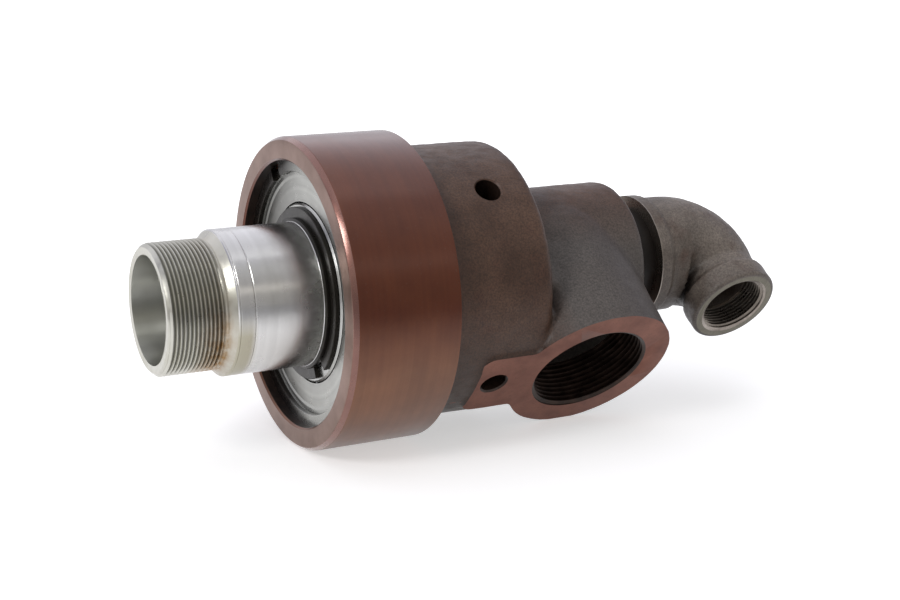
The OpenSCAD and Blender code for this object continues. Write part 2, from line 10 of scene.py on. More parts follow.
import bmesh
import bpy
import numpy as np
from mathutils import Matrix, Vector, noise


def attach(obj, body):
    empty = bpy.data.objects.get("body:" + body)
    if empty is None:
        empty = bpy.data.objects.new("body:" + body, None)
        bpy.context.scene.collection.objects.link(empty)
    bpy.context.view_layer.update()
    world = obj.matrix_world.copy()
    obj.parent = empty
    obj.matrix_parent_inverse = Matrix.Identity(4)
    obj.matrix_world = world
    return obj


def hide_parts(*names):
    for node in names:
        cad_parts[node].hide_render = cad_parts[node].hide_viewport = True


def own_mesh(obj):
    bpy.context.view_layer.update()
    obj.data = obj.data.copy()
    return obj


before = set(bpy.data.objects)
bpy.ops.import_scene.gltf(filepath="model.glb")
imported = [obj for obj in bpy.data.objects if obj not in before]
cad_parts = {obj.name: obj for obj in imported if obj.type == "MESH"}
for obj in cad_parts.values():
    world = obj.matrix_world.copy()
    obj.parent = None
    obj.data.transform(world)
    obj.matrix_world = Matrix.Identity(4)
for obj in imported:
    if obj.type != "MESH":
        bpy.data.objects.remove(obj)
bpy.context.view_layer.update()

# Metres in a millimetre
MM = 0.001
TO_METRES = Matrix.Scale(MM, 4)

# Columns of a turned surface, and how near two corners are to be one
COLUMNS = 192
WELD = 1e-4

# Faces that meet at more than this angle keep a sharp edge
SHARP_ANGLE = radians(32)

# A cut thread, as shares of its pitch
FLANK = 0.34
CREST = 0.16

# How far a cutter reaches past the piece, beside it and beyond its face
BESIDE = 20.0
BEYOND = 30.0

# Rotor. Each line on its nose has its place, its width and its depth
THREAD_R = 36.2
THREAD_LEN = 33.6
THREAD_PITCH = 2.309
THREAD_DEPTH = 1.35
NOSE_R = 40.4
NOSE_LINES = ((38.0, 0.6, 0.3), (46.2, 0.8, 0.4))
ROTOR_BORE_R = 30.0
FRONT_JOURNAL_R = 42.5
FRONT_JOURNAL_X = (86.0, 141.0)
REAR_JOURNAL_R = 40.0
ROTOR_END = 178.0
FRONT_RING_X = (88.1, 90.6)
REAR_RING_X = (165.0, 167.5)
ROTOR_GROOVE = 1.75
SEAT_R = 37.0
SEAT_X = 170.0

# Housing
DRUM_X = (81.5, 143.8)
DRUM_R = 88.0
DRUM_CHAMFER = (3.0, 2.0)
BODY_X = 208.4
BODY_R = 78.05
BODY_CORNER = 6.0
HEAD_X = 289.1
HEAD_R = 47.8
HEAD_CORNER = 4.0
HEAD_BORE_R = 36.0
CHAMBER_R = 64.05
CHAMBER_X = (169.0, 192.0)
BEARING_R = 75.0
BEARING_END = 118.6
HOUSING_RING_X = (87.6, 90.6)
HOUSING_GROOVE = 2.5
BETWEEN_R = 66.0
REAR_BEARING_R = 62.5
REAR_BEARING_X = (143.0, 165.0)
COLLAR_R = 50.0
CARRIER_R = 43.08
CARRIER_END = 206.5
THROAT_R = 33.0
PORT_X = 243.3
PORT_REACH = 76.8
BRANCH_R = 50.5
PORT_R = 34.9
PORT_THREAD_LEN = 28.0
PORT_PITCH = 3.175
PAD_X = 166.9
PAD_HALF = 24.2
PAD_CORNER = 7.0
WEEP_X = 180.0
WEEP_R = 7.5

# Nipple and elbow. The nipple sits in each seat by the engagement, with the seat gap round it
NIPPLE_R = 30.15
SEAT_GAP = 0.02
ENGAGEMENT = 18.5
ELBOW_X = (307.5, 358.2)
ELBOW_DROP = 50.9
BEND_REACH = 28.0
BEND_SWELL = 9.0
BEND_STEPS = 16
OUTLET_R = 20.4
OUTLET_PITCH = 2.209
OUTLET_THREAD_LEN = 17.0
OUTLET_TURN = radians(6.5)

# The part lies on its drum and on the rim of its side port
RIM_H = PORT_REACH - 0.8
PORT_DIP = asin(DRUM_R / hypot(RIM_H, BRANCH_R)) - atan(BRANCH_R / RIM_H)
LIE_TURN = PORT_DIP - pi / 2
LAID = Matrix.Rotation(LIE_TURN, 4, "X")
ELBOW_LAID = Matrix.Rotation(LIE_TURN - OUTLET_TURN, 4, "X")

# Turns a shape drawn along +X so that it points down the port's axis
POINT_DOWN = Matrix.Rotation(pi / 2, 4, "Y")


# Grids of points and faces

def revolve(rows, seam=0):
    """Points and faces from an (x, r) pair for each row and column, round the X axis.

    A helical grid meets itself as many rows further on as seam says.
    """
    rows = np.asarray(rows, float)
    count, columns = rows.shape[:2]
    turn = np.arange(columns) * tau / columns
    points = np.stack([rows[..., 0], rows[..., 1] * np.cos(turn), rows[..., 1] * np.sin(turn)], -1)
    faces = []
    for k in range(count - 1):
        for j in range(columns):
            wrap = seam if j + 1 == columns else 0
            if k + 1 + wrap >= count:
                continue
            near = (j + 1) % columns
            faces.append((k * columns + j, (k + 1) * columns + j,
                          (k + 1 + wrap) * columns + near, (k + wrap) * columns + near))
    return points.reshape(-1, 3), faces


def lathe(profile, columns=COLUMNS):
    """A turned surface from a list of (x, r)."""
    rows = np.repeat(np.asarray(profile, float)[:, None, :], columns, axis=1)
    return revolve(rows)


def eased(profile, size):
    """The closed profile with each corner rounded by about that size."""
    result = []
    for i, corner in enumerate(profile):
        here = Vector(corner)
        before = Vector(profile[i - 1])
        after = Vector(profile[(i + 1) % len(profile)])
        if here.y == 0:
            result.append(tuple(here))
            continue
        reach = min(size, (before - here).length * 0.4, (after - here).length * 0.4)
        start = here + (before - here).normalized() * reach
        end = here + (after - here).normalized() * reach
        for t in (0, 0.33, 0.67, 1):
            result.append(tuple(start.lerp(here, t).lerp(here.lerp(end, t), t)))
    return result


def closed(profile):
    """The profile with its first point again at its end."""
    return list(profile) + [profile[0]]


def threaded_band(x0, x1, pitch, low, high, limit):
    """A helical thread between two plain rings, as limit(x, r) trims it at its ends."""
    steps = np.array([0.0, FLANK, FLANK + CREST, FLANK + CREST + FLANK])
    heights = np.array([low, high, high, low])
    turns = int((x1 - x0) / pitch) + 4
    k = np.arange(4 * turns)
    column = np.arange(COLUMNS) / COLUMNS
    x = x0 - 2 * pitch + pitch * (k[:, None] // 4 + steps[k % 4][:, None] + column[None, :])
    r = np.repeat(heights[k % 4][:, None], COLUMNS, axis=1)
    x = np.clip(x, x0, x1)
    r = limit(x, r)
    return revolve(np.stack([x, r], -1), seam=4)


def swept(stations, columns=96):
    """Rings along a path in the XZ plane: each station is (x, z, heading, radius)."""
    points = []
    for x, z, heading, radius in stations:
        centre = Vector((x, 0, z))
        outward = Vector((sin(heading), 0, cos(heading)))
        for j in range(columns):
            t = j * tau / columns
            points.append(centre + outward * radius * cos(t) + Vector((0, radius * sin(t), 0)))
    faces = []
    for k in range(len(stations) - 1):
        for j in range(columns):
            near = (j + 1) % columns
            faces.append((k * columns + j, (k + 1) * columns + j,
                          (k + 1) * columns + near, k * columns + near))
    faces.append(tuple(range(columns)))
    faces.append(tuple(reversed(range((len(stations) - 1) * columns, len(stations) * columns))))
    return points, faces


def stepped(x, steps):
    """Profile of a stepped bore from x on. Each step is where it ends and its radius."""
    profile = []
    for end, radius in steps:
        profile += [(x, radius), (end, radius)]
        x = end
    return profile


def rectangle(x0, x1, half):
    """Outline of a rectangle about the X axis."""
    return [(x0, -half), (x1, -half), (x1, half), (x0, half)]


def prism(outline, z0, z1):
    """A straight block between two heights over an (x, y) outline."""
    count = len(outline)
    points = [(x, y, z) for z in (z0, z1) for x, y in outline]
    faces = [(i, (i + 1) % count, count + (i + 1) % count, count + i) for i in range(count)]
    faces.append(tuple(reversed(range(count))))
    faces.append(tuple(range(count, 2 * count)))
    return points, faces


# Mesh objects

def solid(name, *grids, place=Matrix.Identity(4)):
    """One mesh object from several grids, welded, with its faces turned outwards."""
    shape = bmesh.new()
    for points, faces in grids:
        corners = [shape.verts.new(place @ Vector(p)) for p in points]
        for face in faces:
            shape.faces.new([corners[i] for i in face])
    bmesh.ops.remove_doubles(shape, verts=shape.verts, dist=WELD)
    bmesh.ops.recalc_face_normals(shape, faces=shape.faces)
    mesh = bpy.data.meshes.new(name)
    shape.to_mesh(mesh)
    shape.free()
    piece = bpy.data.objects.new(name, mesh)
    bpy.context.scene.collection.objects.link(piece)
    return piece


def bake(piece):
    """Applies the piece's modifiers to its mesh."""
    depsgraph = bpy.context.evaluated_depsgraph_get()
    mesh = bpy.data.meshes.new_from_object(piece.evaluated_get(depsgraph))
    piece.modifiers.clear()
    old = piece.data
    piece.data = mesh
    bpy.data.meshes.remove(old)


def combine(piece, other, operation):
    """Joins the other object to the piece or cuts it away, and removes it."""
    change = piece.modifiers.new("change", "BOOLEAN")
    change.operation = operation
    change.solver = "MANIFOLD"
    change.object = other
    bake(piece)
    bpy.data.objects.remove(other)


def cast(piece, grain, passes):
    """Fuses overlapping shells into one skin with soft corners, as a sand mould leaves it."""
    fuse = piece.modifiers.new("fuse", "REMESH")
    fuse.mode = "VOXEL"
    fuse.voxel_size = grain
    soften = piece.modifiers.new("soften", "SMOOTH")
    soften.factor = 0.5
    soften.iterations = passes
    bake(piece)


def roughen(piece, depth, grain):
    """Moves the skin in and out a little, as sand does."""
    count = len(piece.data.vertices)
    places = np.empty(count * 3)
    normals = np.empty(count * 3)
    piece.data.vertices.foreach_get("co", places)
    piece.data.vertices.foreach_get("normal", normals)
    places = places.reshape(-1, 3)
    steps = [noise.fractal(Vector(p) / grain, 1.0, 2.0, 3) for p in places]
    places = places + normals.reshape(-1, 3) * np.array(steps)[:, None] * depth
    piece.data.vertices.foreach_set("co", places.ravel())


def finish_piece(piece, looks, choose, place, body, node, flat=()):
    """Gives the piece its materials, lays it in place and lets it stand for its CAD node.

    choose(centre, normal) gives the number of a face's material. Flat lists the materials
    whose faces aren't shaded smooth.
    """
    mesh = piece.data
    mesh.materials.clear()
    for look in looks:
        mesh.materials.append(look)
    for face in mesh.polygons:
        face.material_index = choose(face.center, face.normal)
    mesh.transform(TO_METRES @ place)
    for face in mesh.polygons:
        face.use_smooth = face.material_index not in flat
    mesh.set_sharp_from_angle(angle=SHARP_ANGLE)
    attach(piece, body)
    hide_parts(node)


# Materials

class Nodes:
    """A node tree, built up node by node."""

    def __init__(self, tree):
        self.tree = tree

    def add(self, kind, values=None, **settings):
        """A new node with its settings, and its inputs linked or set."""
        node = self.tree.nodes.new(kind)
        for name, value in settings.items():
            setattr(node, name, value)
        for name, value in (values or {}).items():
            self.feed(node.inputs[name], value)
        return node

    def feed(self, socket, value):
        """Links an output to the socket, or sets its value."""
        if isinstance(value, bpy.types.NodeSocket):
            self.tree.links.new(value, socket)
        else:
            socket.default_value = value

    def math(self, operation, a, b=0.0, c=0.0):
        node = self.add("ShaderNodeMath", operation=operation)
        for socket, value in zip(node.inputs, (a, b, c)):
            self.feed(socket, value)
        return node.outputs[0]

    def ramp(self, factor, *stops):
        """A colour or level for each position along the factor."""
        node = self.add("ShaderNodeValToRGB", {"Fac": factor})
        band = node.color_ramp
        while len(band.elements) < len(stops):
            band.elements.new(1.0)
        for element, (position, value) in zip(band.elements, stops):
            element.position = position
            colour = (value, value, value) if isinstance(value, (int, float)) else value
            element.color = (*colour, 1.0)
        return node.outputs["Color"]

    def mix(self, factor, a, b, blend="MIX"):
        node = self.add("ShaderNodeMix", data_type="RGBA", blend_type=blend)
        self.feed(node.inputs[0], factor)
        for socket, value in ((node.inputs[6], a), (node.inputs[7], b)):
            if not isinstance(value, bpy.types.NodeSocket):
                value = (*value, 1.0)
            self.feed(socket, value)
        return node.outputs[2]


class Look(Nodes):
    """A node material."""

    def __init__(self, name):
        self.material = bpy.data.materials.new(name)
        self.material.use_nodes = True
        super().__init__(self.material.node_tree)
        self.shader = self.tree.nodes["Principled BSDF"]
        self.place = self.add("ShaderNodeTexCoord").outputs["Object"]

    def noise(self, scale, detail=3.0, rough=0.55, place=None, distortion=0.0):
        """Noise with features of about 1/scale metres, from 0 to 1."""
        return self.add("ShaderNodeTexNoise", {
            "Vector": place or self.place, "Scale": scale, "Detail": detail,
            "Roughness": rough, "Distortion": distortion}).outputs["Fac"]

    def turned_place(self, stretch=0.0):
        """Coordinates in which noise runs in rings round the rotor's axis."""
        parts = self.add("ShaderNodeSeparateXYZ", {"Vector": self.place}).outputs
        radius = self.math("SQRT", self.math("ADD", self.math("MULTIPLY", parts["Y"], parts["Y"]),
                                             self.math("MULTIPLY", parts["Z"], parts["Z"])))
        angle = self.math("ARCTAN2", parts["Z"], parts["Y"])
        return self.add("ShaderNodeCombineXYZ", {
            "X": parts["X"], "Y": radius, "Z": self.math("MULTIPLY", angle, stretch)}).outputs[0]

    def bump(self, height, distance, strength=1.0, after=None):
        """A bump whose full height is that distance in metres."""
        values = {"Height": height, "Distance": distance, "Strength": strength}
        if after:
            values["Normal"] = after
        return self.add("ShaderNodeBump", values).outputs[0]

    def done(self, colour, rough, normal=None, **constants):
        """Feeds the shader and returns the material."""
        self.feed(self.shader.inputs["Base Color"], colour)
        self.feed(self.shader.inputs["Roughness"], rough)
        if normal:
            self.feed(self.shader.inputs["Normal"], normal)
        for name, value in constants.items():
            self.shader.inputs[name.replace("_", " ")].default_value = value
        return self.material


def cast_iron(name="cast_iron_skin", dark=(0.048, 0.021, 0.011), light=(0.105, 0.055, 0.034),
              branch_sheen=False, darken_below=-0.014):
    """Sand-cast skin under a thin brown film, painted lighter and greyer on the branch as a painted sheen.

    It is made darker towards the bottom, below the height that its last argument gives, and painted shade
    darkens its corners.
    """
    look = Look(name)
    parts = look.add("ShaderNodeSeparateXYZ", {"Vector": look.place}).outputs
    broad = look.noise(24.0, 5.0, 0.65)
    grain = look.noise(900.0, 4.0, 0.65)
    colour = look.mix(look.ramp(broad, (0.35, 0.0), (0.68, 1.0)), dark, light)
    rust = look.ramp(look.noise(60.0, 5.0, 0.65), (0.52, 0.0), (0.72, 0.5))
    colour = look.mix(rust, colour, (0.075, 0.030, 0.018))
    # Painted sheen: the branch is painted lighter and greyer, where it faces up to the light.
    if branch_sheen:
        down = look.math("ADD", look.math("MULTIPLY", parts["Y"], sin(LIE_TURN)),
                         look.math("MULTIPLY", parts["Z"], -cos(LIE_TURN)))
        towards_port = look.ramp(look.math("MULTIPLY_ADD", down, 8.0, 0.4), (0.3, 0.0), (0.6, 1.0))
        behind_body = look.ramp(look.math("MULTIPLY", parts["X"], 2.5), (0.51, 0.0), (0.55, 1.0))
        sheen_on_branch = look.math("MULTIPLY", towards_port, behind_body)
        grey = look.mix(broad, (0.062, 0.052, 0.046), (0.120, 0.104, 0.094))
        colour = look.mix(sheen_on_branch, colour, grey)
    colour = look.mix(1.0, colour, look.ramp(grain, (0.33, 0.62), (0.67, 1.40)), "MULTIPLY")
    # Darker towards the bottom, below the given height.
    low_darkening = look.add("ShaderNodeMapRange", {
        "Value": parts["Z"], "From Min": darken_below - 0.026, "From Max": darken_below,
        "To Min": 0.55, "To Max": 1.0}).outputs[0]
    colour = look.mix(1.0, colour, low_darkening, "MULTIPLY")
    # Painted shade: ambient occlusion darkens the skin in corners and creases, where little light reaches.
    corner = look.add("ShaderNodeAmbientOcclusion", {"Distance": 0.011}, samples=6).outputs["AO"]
    colour = look.mix(1.0, colour, look.ramp(corner, (0.35, 0.22), (0.80, 1.0)), "MULTIPLY")
    rough = look.ramp(look.noise(180.0, 4.0), (0.3, 0.36), (0.7, 0.50))
    skin = look.bump(look.noise(260.0, 5.0, 0.64), 0.00034, 0.6)
    normal = look.bump(grain, 0.00010, 0.7, after=skin)
    return look.done(colour, rough, normal, Specular_IOR_Level=0.46)


def filmed_iron():
    """Turned iron under a red-brown rust-proofing film.

    The film shines most on top, and is painted lighter and more orange low down, as light reflected up from
    the floor.
    """
    look = Look("filmed_iron")
    rings = look.turned_place(0.0006)
    fine = look.noise(2600.0, 2.0, 0.6, rings)
    coarse = look.noise(420.0, 3.0, 0.6, rings)
    mottle = look.noise(22.0, 5.0, 0.62)
    patches = look.ramp(mottle, (0.30, 0.0), (0.72, 1.0))
    thick = look.mix(patches, (0.100, 0.018, 0.004), (0.150, 0.036, 0.010))
    # The thin colour is painted light: a lighter, more orange tone for light reflected up from the floor.
    thin = look.mix(patches, (0.150, 0.062, 0.032), (0.225, 0.095, 0.045))
    height = look.add("ShaderNodeSeparateXYZ", {"Vector": look.place}).outputs["Z"]
    # Painted reflected light: the colour turns towards the lighter one low down, with noise along its edge.
    floor_light_share = look.math("MULTIPLY_ADD", look.noise(14.0, 4.0), 0.35, look.math("MULTIPLY", height, -18.0))
    colour = look.mix(look.ramp(floor_light_share, (0.12, 0.0), (0.75, 1.0)), thick, thin)
    colour = look.mix(1.0, colour, look.ramp(coarse, (0.35, 0.93), (0.65, 1.06)), "MULTIPLY")
    speck = look.ramp(look.noise(700.0, 3.0), (0.62, 0.0), (0.75, 0.30))
    colour = look.mix(speck, colour, (0.15, 0.07, 0.045))
    rough = look.ramp(look.noise(55.0, 4.0), (0.3, 0.30), (0.7, 0.38))
    normal = look.bump(fine, 0.00002, 0.5, after=look.bump(coarse, 0.00002, 0.4))
    shine = look.ramp(look.math("MULTIPLY_ADD", height, 6.0, 0.5), (0.60, 0.62), (0.92, 1.0))
    look.feed(look.shader.inputs["Coat Weight"], shine)
    return look.done(colour, rough, normal, Metallic=0.7, Specular_IOR_Level=0.0,
                     Coat_IOR=1.60, Coat_Roughness=0.24, Coat_Tint=(0.97, 0.97, 1.0, 1.0))


def edge_iron():
    """Chamfer of the drum, where the film is worn to a shine."""
    look = Look("edge_iron")
    mottle = look.noise(60.0, 4.0, 0.6)
    colour = look.mix(mottle, (0.170, 0.066, 0.050), (0.280, 0.135, 0.105))
    rough = look.ramp(look.noise(150.0, 3.0), (0.3, 0.24), (0.7, 0.32))
    normal = look.bump(look.noise(2600.0, 2.0, 0.6, look.turned_place(0.0006)), 0.00002, 0.4)
    return look.done(colour, rough, normal, Metallic=0.85, Coat_Weight=1.0, Coat_Roughness=0.18)


def faced_iron():
    """Faced end of the drum: bare iron that shines through a thin pinkish film."""
    look = Look("faced_iron")
    rings = look.turned_place(0.002)
    mottle = look.noise(45.0, 4.0, 0.6)
    patches = look.ramp(mottle, (0.3, 0.0), (0.7, 1.0))
    colour = look.mix(patches, (0.17, 0.098, 0.073), (0.32, 0.215, 0.178))
    normal = look.bump(look.noise(1800.0, 2.0, 0.6, rings), 0.00002, 0.5)
    return look.done(colour, look.ramp(mottle, (0.3, 0.30), (0.7, 0.38)), normal, Metallic=0.75)


def milled_iron():
    """Milled port face and pad, bare iron under a thin pinkish film."""
    look = Look("milled_iron")
    sweep = look.noise(500.0, 2.0, 0.5, look.turned_place(0.0))
    mottle = look.noise(60.0, 4.0, 0.6)
    patches = look.ramp(mottle, (0.3, 0.0), (0.7, 1.0))
    colour = look.mix(patches, (0.145, 0.048, 0.030), (0.270, 0.118, 0.083))
    speck = look.ramp(look.noise(600.0, 3.0), (0.55, 0.0), (0.75, 0.5))
    colour = look.mix(speck, colour, (0.12, 0.055, 0.038))
    normal = look.bump(sweep, 0.00003, 0.5)
    return look.done(colour, look.ramp(mottle, (0.3, 0.34), (0.7, 0.46)), normal, Metallic=0.65,
                     Specular_IOR_Level=0.2)


def cut_iron():
    """Dark oily iron in bores, threads and holes."""
    look = Look("cut_iron")
    mottle = look.noise(120.0, 4.0, 0.6)
    patches = look.ramp(mottle, (0.3, 0.0), (0.7, 1.0))
    colour = look.mix(patches, (0.014, 0.009, 0.007), (0.060, 0.036, 0.027))
    normal = look.bump(look.noise(1500.0, 2.0, 0.5, look.turned_place(0.0)), 0.00003, 0.5)
    return look.done(colour, look.ramp(mottle, (0.3, 0.28), (0.7, 0.42)), normal, Metallic=0.6)


def turned_stainless():
    """Bright turned stainless steel."""
    look = Look("turned_stainless")
    rings = look.turned_place(0.0004)
    fine = look.noise(5200.0, 2.0, 0.6, rings)
    coarse = look.noise(260.0, 3.0, 0.6, rings)
    tone = look.ramp(coarse, (0.3, (0.64, 0.635, 0.625)), (0.7, (0.72, 0.715, 0.705)))
    smear = look.ramp(look.noise(26.0, 4.0, 0.65, distortion=0.4), (0.50, 0.0), (0.75, 0.40))
    colour = look.mix(smear, tone, (0.50, 0.49, 0.44))
    parts = look.add("ShaderNodeSeparateXYZ", {"Vector": look.place}).outputs
    band = look.ramp(look.math("MULTIPLY", parts["X"], 20.0), (0.88, 0.85), (0.96, 0.0))
    below = look.ramp(look.math("MULTIPLY_ADD", parts["Z"], -11.0, 0.5), (0.48, 0.0), (0.62, 1.0))
    colour = look.mix(look.math("MULTIPLY", band, below), colour, (0.40, 0.37, 0.27))
    rough = look.ramp(look.noise(70.0, 3.0), (0.3, 0.20), (0.7, 0.29))
    normal = look.bump(fine, 0.000010, 0.5, after=look.bump(coarse, 0.00001, 0.5))
    return look.done(colour, rough, normal, Metallic=1.0)


def threaded_stainless():
    """Stainless thread with painted shade in its grooves, and a brown stain low down near its inner end."""
    look = Look("threaded_stainless")
    parts = look.add("ShaderNodeSeparateXYZ", {"Vector": look.place}).outputs
    along = look.ramp(look.math("MULTIPLY", parts["X"], 25.0),
                      (0.34, 0.0), (0.68, 1.0), (0.83, 1.0), (0.88, 0.30))
    below = look.ramp(look.math("MULTIPLY_ADD", parts["Z"], -11.0, 0.5), (0.36, 0.12), (0.66, 1.0))
    patch = look.ramp(look.noise(150.0, 4.0, 0.7), (0.35, 0.35), (0.65, 1.0))
    stain = look.math("MULTIPLY", look.math("MULTIPLY", along, below), patch)
    olive = look.mix(look.noise(40.0, 3.0), (0.66, 0.65, 0.60), (0.52, 0.51, 0.43))
    colour = look.mix(look.math("MULTIPLY", stain, 0.95), olive, (0.30, 0.165, 0.050))
    radius = look.add("ShaderNodeSeparateXYZ", {"Vector": look.turned_place()}).outputs["Y"]
    # Painted shade: past its first few millimetres the thread darkens towards the roots of its grooves.
    groove = look.add("ShaderNodeMapRange", {
        "Value": radius, "From Min": MM * (THREAD_R - THREAD_DEPTH),
        "From Max": MM * (THREAD_R - 0.25), "To Min": 0.40, "To Max": 1.0}).outputs[0]
    on_thread = look.ramp(look.math("MULTIPLY", parts["X"], 100.0), (0.20, 0.0), (0.26, 1.0))
    colour = look.mix(on_thread, colour, look.mix(1.0, colour, groove, "MULTIPLY"))
    rough = look.ramp(look.noise(220.0, 3.0), (0.3, 0.26), (0.7, 0.42))
    normal = look.bump(look.noise(1800.0, 2.0), 0.00002, 0.5)
    return look.done(colour, rough, normal, Metallic=1.0)


def bored_stainless():
    """Duller bore of the rotor, in which light is drawn out along the axis."""
    look = Look("bored_stainless")
    rings = look.turned_place(0.0)
    tone = look.mix(look.noise(35.0, 4.0), (0.50, 0.50, 0.44), (0.70, 0.70, 0.65))
    normal = look.bump(look.noise(1400.0, 2.0, 0.5, rings), 0.00003, 0.6)
    round_axis = look.add("ShaderNodeTangent", direction_type="RADIAL", axis="X").outputs[0]
    look.feed(look.shader.inputs["Tangent"], round_axis)
    rough = look.ramp(look.noise(90.0, 3.0), (0.3, 0.31), (0.7, 0.40))
    return look.done(tone, rough, normal, Metallic=1.0, Anisotropic=0.9, Anisotropic_Rotation=0.25)


def steel(name, dark, light, rough, metallic=1.0, ring_scale=1500.0, shaded_side=None):
    """Ground, pressed or drawn steel with rings round the axis.

    Painted shade can darken its far side: the last argument gives the two distances across, in metres, over
    which it darkens.
    """
    look = Look(name)
    rings = look.noise(ring_scale, 2.0, 0.6, look.turned_place(0.0))
    colour = look.mix(look.noise(60.0, 4.0, 0.6), dark, light)
    colour = look.mix(1.0, colour, look.ramp(rings, (0.3, 0.85), (0.7, 1.15)), "MULTIPLY")
    # Painted shade on the far side, away from the camera.
    if shaded_side:
        across = look.add("ShaderNodeSeparateXYZ", {"Vector": look.place}).outputs["Y"]
        shade = look.add("ShaderNodeMapRange", {
            "Value": across, "From Min": shaded_side[0], "From Max": shaded_side[1]}).outputs[0]
        colour = look.mix(shade, colour, (0.030, 0.026, 0.022))
    level = look.ramp(look.noise(130.0, 3.0), (0.3, rough * 0.85), (0.7, rough * 1.2))
    return look.done(colour, level, look.bump(rings, 0.00001, 0.4), Metallic=metallic)


def black_steel(name):
    """Blackened oily steel."""
    return steel(name, (0.010, 0.009, 0.008), (0.040, 0.035, 0.028), 0.30, 0.6, 1800.0)


def rubber():
    """Moulded black rubber."""
    look = Look("rubber")
    colour = look.mix(look.noise(200.0, 3.0), (0.012, 0.012, 0.012), (0.030, 0.029, 0.028))
    return look.done(colour, look.ramp(look.noise(90.0, 3.0), (0.3, 0.45), (0.7, 0.62)),
                     look.bump(look.noise(1200.0, 2.0), 0.00003, 0.5))


def carbon():
    """Lapped carbon."""
    look = Look("carbon")
    colour = look.mix(look.noise(900.0, 4.0, 0.7), (0.020, 0.020, 0.022), (0.048, 0.048, 0.052))
    return look.done(colour, look.ramp(look.noise(90.0, 3.0), (0.3, 0.30), (0.7, 0.42)),
                     look.bump(look.noise(2400.0, 2.0), 0.00002, 0.4))


def black_pipe():
    """Oiled black pipe."""
    look = Look("black_pipe")
    colour = look.mix(look.noise(45.0, 4.0, 0.6), (0.006, 0.005, 0.004), (0.022, 0.016, 0.013))
    normal = look.bump(look.noise(420.0, 4.0, 0.6), 0.00012, 0.5)
    rough = look.ramp(look.noise(120.0, 3.0), (0.3, 0.34), (0.7, 0.52))
    return look.done(colour, rough, normal, Specular_IOR_Level=0.3)


# Rotor with its cut thread

def scribed(x, width, depth):
    """Profile of a fine line turned into the smooth nose."""
    return [(x, NOSE_R), (x + width / 2, NOSE_R - depth), (x + width, NOSE_R)]


def ring_groove(ends, radius):
    """Profile of a retaining ring's groove in a journal of that radius."""
    start, end = ends
    floor_r = radius - ROTOR_GROOVE
    return [(start, radius), (start, floor_r), (end, floor_r), (end, radius)]


def make_rotor():
    chamfer_r = THREAD_R - 2.2
    run_out = 3.5
    shoulder = THREAD_LEN + 3.8
    shoulder_chamfer = (0.6, 0.9)

    def limit(x, r):
        fade = np.clip((THREAD_LEN - x) / run_out, 0, 1)
        return THREAD_R - (THREAD_R - np.minimum(r, chamfer_r + x)) * fade

    thread = threaded_band(0, THREAD_LEN, THREAD_PITCH, THREAD_R - THREAD_DEPTH, THREAD_R, limit)
    journal_start, journal_end = FRONT_JOURNAL_X
    nose_end = journal_start - 0.6
    turned = [(shoulder - shoulder_chamfer[0], NOSE_R - shoulder_chamfer[1]), (shoulder, NOSE_R)]
    for line in NOSE_LINES:
        turned += scribed(*line)
    turned += [(nose_end, NOSE_R), (journal_start, FRONT_JOURNAL_R)]
    turned += ring_groove(FRONT_RING_X, FRONT_JOURNAL_R)
    turned += [(journal_end, FRONT_JOURNAL_R), (journal_end, REAR_JOURNAL_R)]
    turned += ring_groove(REAR_RING_X, REAR_JOURNAL_R)
    turned += [(ROTOR_END, REAR_JOURNAL_R), (ROTOR_END, SEAT_R), (SEAT_X, SEAT_R),
               (SEAT_X, ROTOR_BORE_R), (0.0, ROTOR_BORE_R)]
    loop = [(THREAD_LEN, THREAD_R)] + eased(turned, 0.35) + [(0.0, chamfer_r)]
    piece = solid("rotor_shaft", thread, lathe(loop))

    bright, threaded, bored, darkened = range(4)

    def choose(centre, normal):
        radius = hypot(centre.y, centre.z)
        if radius < ROTOR_BORE_R + 0.2:
            return bored
        if nose_end - 0.2 < centre.x < FRONT_RING_X[0] + 0.2 and radius > NOSE_R + 0.7:
            return darkened
        return threaded if centre.x < shoulder - 0.5 else bright

    looks = [turned_stainless(), threaded_stainless(), bored_stainless(), black_steel("oily_journal")]
    finish_piece(piece, looks, choose, Matrix.Identity(4), "rotor", "rotor")


# Housing: a cast blank with its machined faces, bores and holes

def pad_outline(half=PAD_HALF, x0=PAD_X, corner=PAD_CORNER):
    """Outline of the milled pad, from its round front corners into the port."""
    steps = 8
    points = [(PORT_X, -half)]
    for side in (-1, 1):
        start = pi * 1.5 if side < 0 else pi
        for i in range(steps + 1):
            a = start - i * pi / 2 / steps
            points.append((x0 + corner + corner * cos(a), side * (half - corner) + corner * sin(a)))
    points.append((PORT_X, half))
    return points


def arc(x, r, radius, a0, a1, steps=8):
    """Points of an arc in an (x, r) profile."""
    turns = [a0 + (a1 - a0) * i / steps for i in range(steps + 1)]
    return [(x + radius * cos(a), r + radius * sin(a)) for a in turns]


def round_boss(x0, x1, radius, corner):
    """Profile of a cylinder with a round corner at its far end."""
    return [(x0, 0), (x0, radius)] + arc(x1 - corner, radius - corner, corner, pi / 2, 0) + [(x1, 0)]


